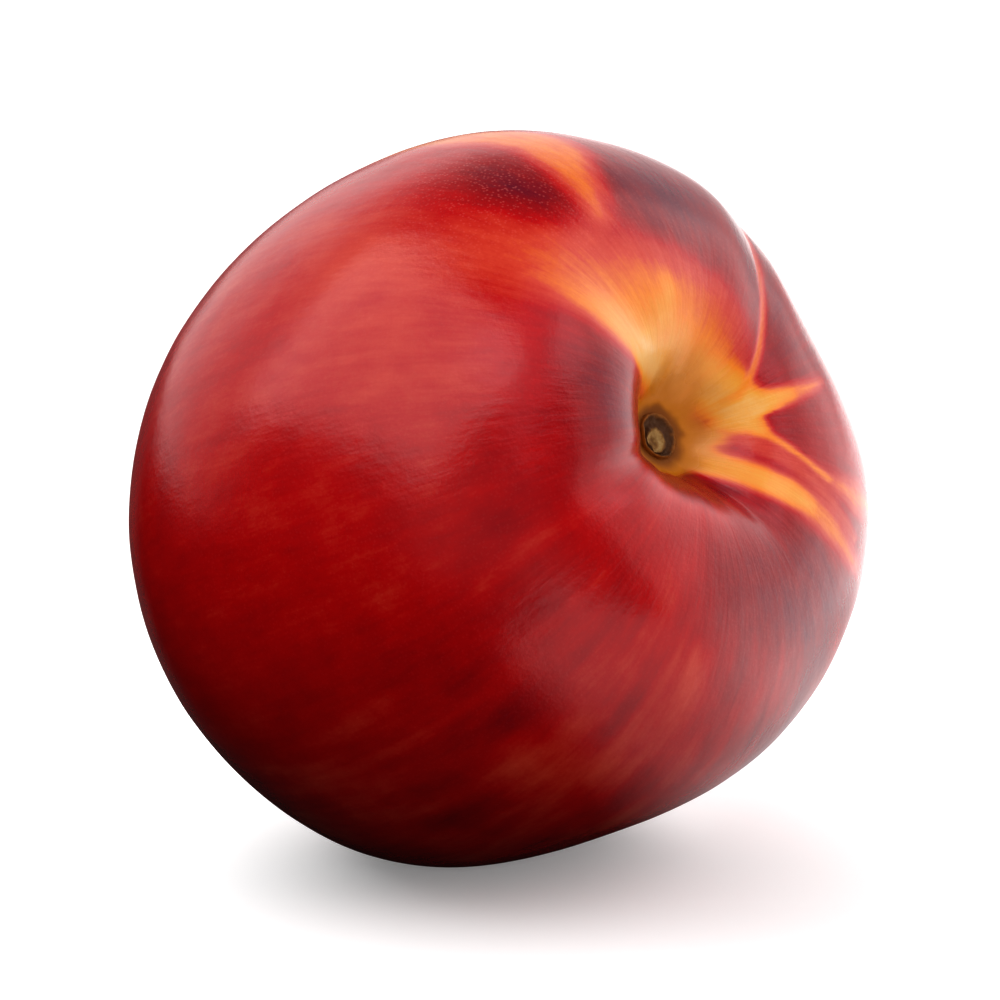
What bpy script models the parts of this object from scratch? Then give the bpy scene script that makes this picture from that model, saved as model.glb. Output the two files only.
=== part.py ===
"""A ripe whole nectarine, picked, lying on its side on a small flat spot.

The fruit is one solid. It is turned upright, stem end up, from one profile, then pushed
and pulled into its grown form, tipped over, and pressed flat where it rests.
Run with: blender --background --python part.py
"""

import math

import bmesh
import bpy
import numpy as np
from mathutils import Matrix

MM = 0.001

# The turned body, before any shaping.
GIRTH_RADIUS = 34.2 * MM  # half the width across the cheeks
STEM_HALF = 30.6 * MM  # from the middle up to where the top would be with no hollow
TIP_HALF = 31.4 * MM  # from the middle down to the blossom end
STEM_FULLNESS = 2.3  # 2 is an ellipse, more is squarer in the shoulder
TIP_FULLNESS = 2.0
HOLLOW_MESH_EDGE = 0.36  # in radians from the stem, where the fine rings give way to wider ones
HOLLOW_MESH_CROWDING = 1.35  # over 1 crowds the fine rings towards the scar

# The hollow that the stem sat in.
HOLLOW_DEPTH = 9.5 * MM
HOLLOW_WIDTH = 5.8 * MM  # from the scar's edge out to where the wall is halfway down
HOLLOW_STEEPNESS = 2.0
HOLLOW_NARROWING = 0.20  # share by which it is narrower on its steep side
HOLLOW_STEEP_SIDE = 148.0  # longitude of the steep side, in degrees
HOLLOW_TIGHTENING = 0.34  # share by which it is narrower still where the low lip hugs the scar
HOLLOW_TIGHT_SIDE = 244.0  # longitude of the low lip
HOLLOW_TIGHT_SPREAD = 32.0  # half the lip's width round the stem, in degrees
SCAR_RADIUS = 2.2 * MM
SCAR_RIM = 0.15 * MM
SCAR_DISH = 0.15 * MM
SCAR_EDGE = (0.75, 1.25)  # where its dish ends, in scar radii
SCAR_RIM_WIDTH = 0.3  # in scar radii
STEM_END = (-0.2, 0.5)  # heights, in stem halves, between which the stem end's shaping comes in

# The seam that runs from the hollow over one side to the tip. Angles are from the stem.
SUTURE_START = 9.0  # longitude in degrees where it leaves the hollow
SUTURE_END = 42.0  # longitude that it bends round to
SUTURE_LEAVES = 17.4  # angle where it leaves, in degrees
SUTURE_BEND = 13.5  # how soon it bends, in degrees
SUTURE_FADES_IN = (14.0, 26.0)  # angles between which its groove comes in
SUTURE_SHALLOWS = (35.0, 90.0)  # angles between which it turns shallower
SUTURE_DEPTH_SHOULDER = 0.5 * MM
SUTURE_DEPTH_GIRTH = 0.3 * MM
SUTURE_WIDTH = 2.4 * MM
SUTURE_LIP = 0.2  # how far its two lips stand up, as a share of its depth
SUTURE_LIP_PLACE = 1.9  # how far out they stand, in widths

# The small point at the blossom end.
TIP_HEIGHT = 1.3 * MM
TIP_WIDTH = 3.6 * MM

# Swells and flats: name, longitude, angle from the stem, height in mm, spread, in degrees.
SWELLS = (
    ("left shoulder", 146.0, 33.0, 0.8, 13.0),
    ("lower shoulder", 246.0, 40.0, 0.5, 20.0),
    ("right shoulder", 340.0, 46.0, 1.1, 20.0),
    ("crown", 46.0, 52.0, 0.9, 17.0),
    ("flat beside the seam", 10.0, 60.0, -1.4, 18.0),
    ("flat cheek", 116.0, 88.0, -1.8, 34.0),
    ("flat below", 265.0, 90.0, -1.6, 24.0),
    ("low cheek", 318.0, 62.0, 0.6, 20.0),
    ("belly", 244.0, 114.0, 1.2, 30.0),
    ("left cheek", 190.0, 106.0, 2.5, 42.0),
)
# Creases: name, longitude, depth in mm, width in degrees, where along the radius and how
# far each way, in mm.
NOTCHES = (
    ("crease between the lobes", 190.0, 1.1, 8.0, 11.0, 6.0),
    ("low lip", HOLLOW_TIGHT_SIDE, 0.9, HOLLOW_TIGHT_SPREAD, 12.5, 6.5),
    ("near wall of the hollow", 195.0, 0.35, 40.0, 4.5, 2.0),
    ("fold under the streaks", 293.0, 0.8, 9.0, 8.5, 4.0),
    ("valley up from the hollow", 112.0, 0.8, 16.0, 13.0, 7.0),
)

# How it lies.
LEAN = 65.0  # degrees that the stem leans away from upright
TURN = 50.0  # degrees that it then turns to the right
PRESS = 0.55 * MM  # how far the resting spot is pressed in

# Mesh.
COLUMNS = 80
RINGS_HOLLOW = 14
RINGS_BODY = 36


def smoothstep(low, high, x):
    """0 below low, 1 above high, and a smooth S between them."""
    t = np.clip((x - low) / (high - low), 0.0, 1.0)
    return t * t * (3.0 - 2.0 * t)


def turned(angle, fullness, half):
    """(radius, height) of the body at an angle from the stem, before any shaping."""
    radius = GIRTH_RADIUS * np.sin(angle) ** (2.0 / fullness)
    height = half * np.abs(np.cos(angle)) ** (2.0 / fullness)
    return radius, height


def profile():
    """(radius, height) down the outside, from the middle of the scar to the blossom end."""
    crowded = np.linspace(0.0, 1.0, RINGS_HOLLOW, endpoint=False) ** HOLLOW_MESH_CROWDING
    inner = crowded * HOLLOW_MESH_EDGE
    outer = np.linspace(HOLLOW_MESH_EDGE, math.pi / 2, RINGS_BODY // 2, endpoint=False)
    under = np.linspace(math.pi / 2, math.pi, RINGS_BODY // 2 + 1)
    stem_radius, stem_height = turned(np.concatenate([inner, outer]), STEM_FULLNESS, STEM_HALF)
    tip_radius, tip_height = turned(under, TIP_FULLNESS, TIP_HALF)
    radius = np.concatenate([stem_radius, tip_radius])
    height = np.concatenate([stem_height, -tip_height])
    radius[0] = radius[-1] = 0.0
    return radius, height


def turn_profile():
    """The upright body of revolution, as a mesh closed at both ends."""
    radius, height = profile()
    mesh = bpy.data.meshes.new("profile")
    points = [(r, 0.0, z) for r, z in zip(radius, height)]
    mesh.from_pydata(points, [(i, i + 1) for i in range(len(points) - 1)], [])
    body = bpy.data.objects.new("profile", mesh)
    bpy.context.scene.collection.objects.link(body)
    screw = body.modifiers.new("Turn", "SCREW")
    screw.steps = screw.render_steps = COLUMNS
    screw.use_merge_vertices = True
    screw.merge_threshold = 0.00001
    graph = bpy.context.evaluated_depsgraph_get()
    solid = bpy.data.meshes.new_from_object(body.evaluated_get(graph))
    bpy.data.objects.remove(body)
    bpy.data.meshes.remove(mesh)
    return solid


def longitude_gap(longitude, middle):
    """Signed degrees from middle to longitude, the short way round."""
    return (longitude - middle + 180.0) % 360.0 - 180.0


def sink_hollow(points, radius, longitude):
    """Draws the stem end down into its hollow, which has one steep side and one tight one."""
    steep = np.maximum(np.cos(np.radians(longitude - HOLLOW_STEEP_SIDE)), 0.0)
    lip = np.exp(-((longitude_gap(longitude, HOLLOW_TIGHT_SIDE) / HOLLOW_TIGHT_SPREAD) ** 2))
    width = HOLLOW_WIDTH * (1.0 - HOLLOW_NARROWING * steep - HOLLOW_TIGHTENING * lip)
    up_the_wall = np.maximum(radius - SCAR_RADIUS, 0.0) / width
    share = 1.0 / (1.0 + up_the_wall**HOLLOW_STEEPNESS)
    above = smoothstep(*STEM_END, points[:, 2] / STEM_HALF)
    scar = 1.0 - smoothstep(*SCAR_EDGE, radius / SCAR_RADIUS)
    rim = np.exp(-(((radius - SCAR_RADIUS) / (SCAR_RIM_WIDTH * SCAR_RADIUS)) ** 2))
    points[:, 2] -= above * (HOLLOW_DEPTH * share + SCAR_DISH * scar - SCAR_RIM * rim)
    return points


def dip_shoulders(points, radius, longitude):
    """Lets the shoulder dip where a crease runs from the hollow between two lobes."""
    above = smoothstep(*STEM_END, points[:, 2] / STEM_HALF)
    for _, middle, depth, width, place, reach in NOTCHES:
        around = longitude_gap(longitude, middle) / width
        along = (radius - place * MM) / (reach * MM)
        points[:, 2] -= above * depth * MM * np.exp(-around * around - along * along)
    return points


def suture_course(angle):
    """Longitude of the seam at an angle from the stem, in degrees."""
    past = np.maximum(angle - SUTURE_LEAVES, 0.0)
    return SUTURE_END - (SUTURE_END - SUTURE_START) * np.exp(-past / SUTURE_BEND)


def press_suture(points, radius, longitude, angle):
    """Presses the seam's groove in, with a low lip each side."""
    gap = longitude_gap(longitude, suture_course(angle))
    across = radius * np.radians(gap) / SUTURE_WIDTH
    leaving = smoothstep(*SUTURE_FADES_IN, angle)
    shallow = smoothstep(*SUTURE_SHALLOWS, angle)
    depth = SUTURE_DEPTH_SHOULDER + (SUTURE_DEPTH_GIRTH - SUTURE_DEPTH_SHOULDER) * shallow
    groove = np.exp(-across * across)
    lips = SUTURE_LIP * np.exp(-((np.abs(across) - SUTURE_LIP_PLACE) ** 2))
    outward = points / np.maximum(np.linalg.norm(points, axis=1, keepdims=True), 1e-9)
    return points - outward * (depth * leaving * (groove - lips))[:, None]


def swell(points):
    """Pushes the lobes and cheeks out, and the flats in."""
    outward = points / np.maximum(np.linalg.norm(points, axis=1, keepdims=True), 1e-9)
    moved = points.copy()
    for _, longitude, angle, height, spread in SWELLS:
        around, down = math.radians(longitude), math.radians(angle)
        middle = np.array(
            [math.sin(down) * math.cos(around), math.sin(down) * math.sin(around), math.cos(down)]
        )
        away = np.degrees(np.arccos(np.clip(outward @ middle, -1.0, 1.0))) / spread
        moved += outward * (height * MM * np.exp(-away * away))[:, None]
    return moved


def draw_tip(points, radius):
    """Draws the blossom end out into a small blunt point."""
    below = points[:, 2] < 0.0
    points[:, 2] -= below * TIP_HEIGHT * np.exp(-((radius / TIP_WIDTH) ** 2))
    return points


def grow(mesh):
    """Moves the turned body's points to the fruit's grown form."""
    points = np.empty(len(mesh.vertices) * 3)
    mesh.vertices.foreach_get("co", points)
    points = points.reshape(-1, 3)
    radius = np.hypot(points[:, 0], points[:, 1])
    longitude = np.degrees(np.arctan2(points[:, 1], points[:, 0]))
    points = sink_hollow(points, radius, longitude)
    points = dip_shoulders(points, radius, longitude)
    angle = np.degrees(np.arctan2(radius, points[:, 2]))
    points = press_suture(points, radius, longitude, angle)
    points = swell(points)
    points = draw_tip(points, radius)
    mesh.vertices.foreach_set("co", points.ravel())
    mesh.update()


def lay_down(mesh):
    """Leans the fruit over, turns it, and presses its resting spot flat on the ground."""
    mesh.transform(Matrix.Rotation(math.radians(LEAN), 4, "X"))
    mesh.transform(Matrix.Rotation(math.radians(TURN), 4, "Z"))
    lowest = min(v.co.z for v in mesh.vertices)
    mesh.transform(Matrix.Translation((0.0, 0.0, -lowest - PRESS)))
    cut = bmesh.new()
    cut.from_mesh(mesh)
    everything = cut.verts[:] + cut.edges[:] + cut.faces[:]
    bmesh.ops.bisect_plane(
        cut, geom=everything, plane_co=(0, 0, 0), plane_no=(0, 0, 1), clear_inner=True
    )
    open_edges = [e for e in cut.edges if e.is_boundary]
    bmesh.ops.contextual_create(cut, geom=open_edges)
    bmesh.ops.recalc_face_normals(cut, faces=cut.faces[:])
    cut.to_mesh(mesh)
    cut.free()
    low = [min(v.co[i] for v in mesh.vertices) for i in range(2)]
    high = [max(v.co[i] for v in mesh.vertices) for i in range(2)]
    middle = [(a + b) / 2.0 for a, b in zip(low, high)]
    mesh.transform(Matrix.Translation((-middle[0], -middle[1], 0.0)))


def skin_material():
    """Deep red waxy skin."""
    material = bpy.data.materials.new("nectarine_skin")
    material.use_nodes = True
    shader = material.node_tree.nodes["Principled BSDF"]
    shader.inputs["Base Color"].default_value = (0.36, 0.035, 0.03, 1.0)
    shader.inputs["Roughness"].default_value = 0.32
    shader.inputs["Metallic"].default_value = 0.0
    material.diffuse_color = (0.36, 0.035, 0.03, 1.0)
    return material


def build_nectarine(collection):
    mesh = turn_profile()
    mesh.name = "nectarine"
    grow(mesh)
    lay_down(mesh)
    mesh.shade_smooth()
    mesh.set_sharp_from_angle(angle=math.radians(50.0))
    mesh.materials.append(skin_material())
    fruit = bpy.data.objects.new("nectarine", mesh)
    collection.objects.link(fruit)
    return fruit


def main():
    for old in list(bpy.data.objects):
        bpy.data.objects.remove(old)
    collection = bpy.data.collections.new("nectarine")
    bpy.context.scene.collection.children.link(collection)
    build_nectarine(collection)


main()
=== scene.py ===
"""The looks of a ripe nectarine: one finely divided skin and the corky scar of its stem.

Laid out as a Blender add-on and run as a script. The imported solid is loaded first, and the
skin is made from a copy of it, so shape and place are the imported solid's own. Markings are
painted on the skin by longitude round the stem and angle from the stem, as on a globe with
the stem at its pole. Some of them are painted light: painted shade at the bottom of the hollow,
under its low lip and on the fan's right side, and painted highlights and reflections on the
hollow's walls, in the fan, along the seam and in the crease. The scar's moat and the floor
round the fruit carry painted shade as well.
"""

import math

import bpy
import numpy as np
from bpy.props import FloatProperty, FloatVectorProperty, IntProperty, PointerProperty
from mathutils import Matrix, Vector, noise


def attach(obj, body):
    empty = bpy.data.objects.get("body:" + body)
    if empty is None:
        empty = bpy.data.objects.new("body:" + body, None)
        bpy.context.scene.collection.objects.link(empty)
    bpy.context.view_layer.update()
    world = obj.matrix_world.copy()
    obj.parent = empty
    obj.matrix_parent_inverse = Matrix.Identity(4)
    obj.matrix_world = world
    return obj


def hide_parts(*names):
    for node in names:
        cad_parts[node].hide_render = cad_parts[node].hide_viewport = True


bl_info = {
    "name": "Nectarine",
    "version": (1, 0, 0),
    "blender": (4, 5, 0),
    "location": "View3D > Sidebar > Nectarine",
    "description": "A ripe nectarine's skin, stem scar and studio stage",
    "category": "Object",
}

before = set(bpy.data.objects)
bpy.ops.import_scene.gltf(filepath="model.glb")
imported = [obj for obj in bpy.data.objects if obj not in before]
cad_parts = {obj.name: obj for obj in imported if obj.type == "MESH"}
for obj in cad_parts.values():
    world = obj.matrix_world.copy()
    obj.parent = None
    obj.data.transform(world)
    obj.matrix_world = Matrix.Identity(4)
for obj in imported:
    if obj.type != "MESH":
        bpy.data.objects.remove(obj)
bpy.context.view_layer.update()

MM = 0.001

# How the noise that shapes and paints is made.
SEED_STEP = (7.31, 3.77, 5.19)  # how far apart in the noise two seeds are
RIPPLE_ROUGHNESS = 1.0
RIPPLE_LACUNARITY = 2.0

# How the fruit lies in the frame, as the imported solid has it.
HEART = (-0.46 * MM, 0.82 * MM, 33.37 * MM)  # the middle that angles are measured from
LEAN = 65.0  # degrees that the stem leans over
TURN = 50.0  # and then turns, seen from above
REACH = 27.5  # mm from the heart to the shoulder, which turns degrees into millimetres
FIBRE_LENGTH = 286.0  # degrees; with the fibres' noise scale it gives their length
TIP_CALM = 0.35  # the sine of the angle from the tip where fibres begin to run together
STEM_GUARD = 0.1  # the least sine of an angle that degrees round the stem are measured with

# The skin's fine form.
MERGE_WITHIN = 0.001 * MM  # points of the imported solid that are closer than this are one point
QUAD_BEND = math.radians(40.0)  # two triangles that bend or skew more than this stay triangles
QUAD_SKEW = math.radians(60.0)
SWELL_SIZE = 9.0  # mm from one slow swell to the next
RIBS = (30.0, 14.0)  # how many to a radian round the stem, and their length in degrees
CALM_IN_HOLLOW = (8.0, 20.0)  # angles from the stem between which swells and ribs begin
CALM_AT_GROUND = (0.4 * MM, 3.0 * MM)  # heights between which they begin

# The seam's course, as longitude in degrees at an angle from the stem.
SEAM_START = 9.0
SEAM_END = 42.0
SEAM_LEAVES = 17.4  # the angle where it begins to bend away
SEAM_BEND = 13.5  # the degrees over which it bends
SEAM_SHOWS = (12.0, 18.0)  # angles between which its colours begin
SEAM_FADES = (75.0, 110.0)  # and between which they end

# The seam's parts. Widths are in mm from its middle.
DENT_HALF_WIDTH = 0.45
DENT_BEGINS = (14.0, 22.0)  # angles from the stem
# The pale line is a painted highlight along the seam.
LINE_EDGE = (0.15, 0.75)  # where the pale line fades out
LINE_BLUSH = 0.28
LINE_DARKENS = 0.008  # by so much a degree
LINE_DARKENS_FROM = 22.0  # past this angle from the stem
LINE_STRENGTH = 0.75
FLANK_PLACE = 1.7  # where the dark flanks beside the line are darkest
FLANK_HALF_WIDTH = 1.2
FLANK_BEGINS = (27.0, 36.0)  # angles from the stem
FLANK_CHANGE = 0.10

# Blush is 0 on bare yellow ground, 0.3 orange, 0.6 bright red, 0.8 deep red and 1 plum.
BASE_BLUSH = 0.70

# Broad changes of the blush: name, longitude, angle from the stem, spread (degrees), change.
CLOUDS = (
    ("bright left cheek", 138.0, 68.0, 24.0, -0.08),
    ("plum beside the hollow", 157.0, 23.0, 12.0, 0.24),
    # Painted highlight: the next two pale the hollow's near and low walls where the lip catches the
    # light.
    ("painted highlight on the near wall", 122.0, 10.0, 9.0, -0.30),
    ("painted highlight on the low wall", 225.0, 12.0, 9.0, -0.16),
    ("dark crown", 106.0, 52.5, 12.0, 0.24),
    ("dark crown's near end", 112.0, 44.0, 6.0, 0.12),
    ("bright left crown", 124.0, 68.0, 12.0, -0.08),
    ("plum crown beside the seam", 66.0, 44.0, 16.0, 0.28),
    ("plum beyond the seam", 16.0, 32.0, 14.0, 0.14),
    ("plum between the streaks", 344.0, 28.0, 8.0, 0.07),
    ("lower shoulder", 268.0, 28.0, 20.0, 0.14),
    ("right shoulder", 304.0, 42.0, 16.0, 0.14),
    ("low cheek", 238.0, 54.0, 20.0, -0.08),
    ("plum low on the right", 290.0, 66.0, 22.0, 0.15),
    ("under the crease", 196.0, 50.0, 12.0, 0.05),
    ("far cheek", 10.0, 100.0, 40.0, 0.06),
    ("pale spot behind", 60.0, 122.0, 22.0, -0.20),
    ("pale spot beneath", 300.0, 142.0, 24.0, -0.14),
    ("yellow round the tip", 120.0, 172.0, 15.0, -0.30),
)

# Small patches of the blush all over: change, size in mm, seed.
PATCHES = ((0.05, 11.0, 4), (0.03, 3.5, 5))

# Long strokes of the blush: how many to a radian, their length in degrees, the change, the
# further change on the low cheek, seed.
STROKES = ((9.0, 22.0, 0.03, 0.12, 12), (4.0, 16.0, 0.02, 0.08, 15))
STROKES_BEGIN = (25.0, 50.0)  # angles from the stem
LOW_CHEEK_BEGINS = (195.0, 215.0)  # longitudes
LOW_CHEEK_ENDS = (310.0, 330.0)

# How the painted marks are shaken, which gives them brushed edges.
BRUSH_FIBRES = (16.0, 12.0)  # how many to a radian, and their length in degrees
BRUSH_PATCH = 6.0  # mm across the patches that shift as one
BRUSH_ALONG = 1.2  # degrees that fibres and patches shift, from stem to tip
BRUSH_WAVE = 4.0  # mm from one sideways bend to the next
BRUSH_AROUND = 0.7  # degrees that they bend by
BRUSH_AT_STEM = 0.25  # share of the shift near the stem
BRUSH_LOOSENS = (18.0, 45.0)  # angles from the stem between which it grows to the whole

# The bare fan that opens from the hollow: its two edges as longitude, at an angle from the
# stem, and its blush at the left and the right edge.
FAN_LEFT = (
    (6.0, 84.0), (8.0, 90.0), (10.0, 99.0), (12.0, 107.0), (14.0, 117.0), (16.0, 128.0),
    (18.0, 134.0), (22.0, 135.5), (30.0, 134.5), (40.0, 134.5), (50.0, 135.0), (57.0, 133.0),
    (64.0, 130.0), (80.0, 124.0),
)
FAN_RIGHT = (
    (10.0, 0.0), (15.0, 4.0), (19.0, 9.0), (22.0, 17.0), (25.0, 27.0), (27.5, 42.0),
    (30.0, 60.0), (33.0, 76.0), (36.0, 88.0), (40.0, 99.0), (46.0, 108.0), (54.0, 112.0),
    (66.0, 114.0), (80.0, 116.0),
)
# The blush at the fan's right edge is raised, partly for a pinker tone and partly as painted shade
# on that side.
FAN_BLUSH = (
    (12.0, 0.06, 0.22), (17.0, 0.06, 0.40), (21.0, 0.11, 0.58), (25.0, 0.18, 0.64),
    (30.0, 0.27, 0.70), (35.0, 0.35, 0.66), (40.0, 0.41, 0.58), (50.0, 0.50, 0.62),
    (60.0, 0.60, 0.68), (75.0, 0.70, 0.74),
)
FAN_LEFT_FADE = (-0.9, 2.0)  # mm in from its left edge between which it covers more and more
FAN_RIGHT_FADE = (-3.0, 4.6)
FAN_FRAYS = (33.0, 46.0)  # angles between which the left edge grows softer
FAN_FRAYING = 1.6  # by so much of its own width
FAN_ENDS = (52.0, 78.0)
FAN_LEAST_WIDTH = 0.1  # mm

# Streaks: name, blush, softness in mm, and the course as (longitude, angle, half width in mm).
STREAKS = (
    ("crown patch", 0.40, 3.2,
     ((95, 40, 0.9), (92, 45, 1.5), (89, 50, 2.1), (86, 55, 2.7), (85, 61, 3.0), (87, 68, 3.0),
      (89, 76, 2.6), (93, 90, 1.0))),
    # Painted highlight: a cream strip along the lit ridge in the fan.
    ("painted highlight strip in the fan", 0.0, 2.4,
     ((86, 12.5, 0.4), (95, 14, 0.9), (104, 15.5, 1.2), (114, 16.5, 1.3), (124, 17.5, 0.9))),
    ("pale haze in the fan", 0.20, 3.0, ((96, 18, 0.8), (90, 21, 1.2), (84, 24, 0.8))),
    # Painted shade: the next two darken the groove under the hollow's low lip and the fold beside
    # it.
    ("painted shade under the low lip", 0.86, 1.5,
     ((140, 16.2, 0.3), (160, 16.8, 0.7), (180, 16.9, 0.9), (200, 16.2, 1.0), (225, 15.2, 1.2),
      (250, 14.6, 1.3), (268, 14.5, 1.2), (280, 14.6, 0.8))),
    ("painted shade in the fold", 0.86, 1.0,
     ((222, 13.2, 0.2), (232, 12.7, 0.7), (245, 12.7, 1.1), (262, 12.8, 1.3), (278, 13.0, 1.4),
      (290, 14.0, 1.5), (298, 15.4, 1.5))),
    ("wall below the seam", 0.19, 1.8,
     ((44, 14, 1.4), (20, 16.6, 1.5), (8, 17, 1.4), (352, 16, 1.2), (344, 13, 1.0), (334, 11, 1.0),
      (324, 11, 1.1), (314, 11, 1.1))),
    ("end of the upper streak", 0.36, 1.4,
     ((0, 22, 0.85), (359.8, 26, 0.7), (0, 30, 0.5), (0.5, 35, 0.1))),
    ("upper streak", 0.17, 1.4, ((0, 19, 1.1), (0, 20, 0.95), (0, 22, 0.7), (359.8, 24.5, 0.35))),
    ("red arc", 0.55, 1.1,
     ((346, 14, 0.1), (341, 15.6, 0.55), (335, 17.8, 0.85), (329.5, 21.2, 0.75), (325.5, 25.5, 0.65),
      (323, 30, 0.6), (321, 35, 0.5), (320, 42, 0.3))),
    ("pale end of the middle streak", 0.45, 2.0,
     ((328.5, 29, 0.3), (328.5, 34, 0.8), (329.5, 39, 1.2), (331, 46, 1.0), (333, 56, 0.0))),
    ("middle streak", 0.31, 0.8,
     ((353, 17.3, 0.9), (346, 18.2, 0.6), (341, 19.5, 0.44), (336, 22, 0.36), (332, 24.8, 0.34),
      (329.5, 28, 0.32), (328.5, 31, 0.3))),
    ("where the streaks meet", 0.08, 2.4,
     ((22, 14.5, 0.8), (12, 15.5, 1.4), (4, 16.4, 1.7), (357, 17, 1.8), (350, 17, 1.1),
      (345, 18, 0.3))),
    # Painted reflection: pale strokes along the crease, where the lamps shine in the wax.
    ("painted reflection in the crease", 0.64, 2.6,
     ((194, 34, 0.2), (193.5, 41, 0.7), (194, 47, 0.8), (196, 55, 0.3))),
    ("end of the lower streak", 0.41, 1.8,
     ((313.5, 24, 1.2), (314, 30, 1.3), (314.5, 36, 1.15), (315.5, 43, 0.8), (317, 53, 0.0))),
    ("lower streak", 0.18, 1.6,
     ((311.5, 9, 1.3), (312, 13, 1.5), (312.5, 17, 1.4), (312.5, 21, 1.25), (313.3, 25, 1.0),
      (314, 28, 0.6))),
)

# The ochre lining of the hollow, round the stem: longitude, the angle where it is half gone,
# and the degrees that it takes to go.
# Its long soft fade at longitudes 0 to 60 also darkens the fan's right side as painted shade.
LINING = (
    (0.0, 13.5, 11.0), (30.0, 14.0, 13.0), (60.0, 14.2, 14.0), (85.0, 12.6, 11.0),
    (97.0, 10.6, 5.0), (115.0, 10.5, 3.0), (140.0, 14.2, 4.5), (180.0, 14.8, 4.5),
    (203.0, 13.8, 4.0), (222.0, 11.4, 3.0), (240.0, 10.3, 2.2), (262.0, 10.2, 2.0),
    (285.0, 10.5, 2.0), (303.0, 12.0, 6.0), (325.0, 12.0, 8.0), (345.0, 13.0, 10.0),
    (360.0, 13.5, 11.0),
)
LINING_WANDERS = 0.15  # share of those degrees by which its edge wanders
LINING_WAVE = 2.0  # mm from one bend of the edge to the next
HOLLOW_BOTTOM = (6.0, 10.0)  # angles between which its deeper colour, painted shade round the scar, ends
HOLLOW_ROUGHNESS = 0.75
HOLLOW_DULLS = (0.2, 0.8)  # values of the painted layer between which it takes that roughness

# Pale dots, which crowd on the crown.
DOT_COLOUR = (0.72, 0.19, 0.17)
DOT_SCALE = 2600.0  # cells to a metre
DOT_EDGE = (0.14, 0.40)  # distances from a dot's middle between which it ends, in cells
DOT_CROWN = (104.0, 56.0)  # longitude and angle of the place with the most
DOT_SPREAD = 15.0  # degrees
DOTS_ON_CROWN = 0.22
DOTS_ALL_OVER = 0.03

# The blush that each of the skin's colours stands for.
BLUSH_COLOURS = (
    (0.00, "ground_cream"),
    (0.14, "ground_yellow"),
    (0.32, "ground_orange"),
    (0.52, "blush_bright"),
    (0.68, "blush_red"),
    (0.84, "blush_deep"),
    (1.00, "blush_plum"),
)

# Noise that breaks the blush up: whether it runs along the fibres, scale, detail, how much.
BLUSH_GRAIN = (
    (True, 26.0, 3.0, 0.15),
    (True, 70.0, 2.0, 0.05),
    (False, 420.0, 4.0, 0.12),
    (False, 2600.0, 2.0, 0.05),
)
GRAIN_ROUGHNESS = 0.6

# The skin's finest relief. Scales are the noise's, and the pores' height is a setting.
RELIEF_DETAIL = 2.0
FIBRE_SCALE = 40.0
FIBRE_HEIGHT = 0.02 * MM
PORE_SCALE = 3200.0
LUMP_SCALE = 700.0
LUMP_HEIGHT = 0.03 * MM

WAX_IOR = 1.46

# The stem scar, from its edge in: name, how far in and how far up, in mm.
SCAR_STEPS = (
    ("edge", 0.12, 0.10), ("outer lip", 0.18, 0.0), ("side of the moat", 0.14, -0.32),
    ("moat", 0.34, -0.05), ("side of the ring", 0.14, 0.36), ("ring", 0.26, 0.06),
    ("side of the dimple", 0.16, -0.30), ("dimple", 0.40, -0.12),
)
SCAR_SIDES = 40
SCAR_DIVISIONS = 2
SCAR_THICKNESS = 0.9 * MM
SCAR_RISE = 0.45 * MM  # how far its edge stands over the middle of its bed
SCAR_BED = 1.2 * MM  # the bed's height is taken within this distance of the stem's line
SCAR_OFF_CENTRE = (-0.85 * MM, -0.45 * MM)  # how far the ring's middle is from the scar's
SCAR_SHIFT_FADES = (0.3, 1.0)  # shares of the scar's radius between which that shift ends
SCAR_RING = 0.78 * MM  # how far out the cork ring stands
SCAR_RING_OUT = (0.95, 0.12)  # share of that at least, and how much more where it is thick
SCAR_RING_WIDTH = 0.26 * MM
SCAR_UNEVEN = 0.5  # how much its thickness varies
SCAR_OUTLINE = (0.09, 0.8)  # share by which its outline wavers, and the waves' length in radians
SCAR_CORE = 0.05 * MM  # within this distance of its middle the outline's waves die away
# Height, size, seed and octaves.
SCAR_CRAGS = ((0.12 * MM, 0.8 * MM, 9, 3), (0.04 * MM, 0.25 * MM, 10, 2))
SCAR_TOP = (-0.2 * MM, 0.2 * MM)  # heights between which the crags begin
SCAR_PATCH = 1.3 * MM  # size of the patches where the ring is thicker
SCAR_CORK = (0.9, 0.42)  # how corky the ring is, and the dimple within it
SCAR_DIMPLE_EDGE = (0.9, 1.1)  # shares of the ring's distance between which the dimple ends
SCAR_FADES = (0.80, 1.0)  # shares of its radius between which it takes on the hollow's colour, the painted shade there
SCAR_FADE_WAVERS = (0.08, 0.6 * MM)  # share by which that wavers, and the waves' size
SCAR_MIDDLE = (0.20, 0.095, 0.018)  # its colour between cork and bark
SCAR_COLOUR_STOPS = (0.15, 0.50, 0.95)  # where bark, middle and cork stand
SCAR_FLECKS = (2400.0, 4.0, 0.7, 0.9)  # noise scale, detail and roughness, and how much
SCAR_FLECK_HEIGHT = 0.12 * MM
SCAR_ROUGHNESS = 0.75

# The lamps: name, azimuth and height in degrees, size in metres, power in watts.
LAMPS = (
    ("left_box", -54.0, 60.0, (1.8, 0.95), 9.6),
    ("right_box", 102.0, 24.0, (1.2, 1.1), 4.1),
    ("top_box", 58.0, 54.0, (0.95, 0.75), 2.2),
    ("front_fill", 12.0, 6.0, (0.9, 0.6), 3.1),
)
LAMP_DISTANCE = 0.9
SHEEN_LAMP = "top_box"  # is seen in the wax and lights nothing
SHEEN_COLOUR = (0.84, 0.88, 1.0)
FILL_LAMP = "front_fill"  # lights, and isn't seen in the wax

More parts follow.
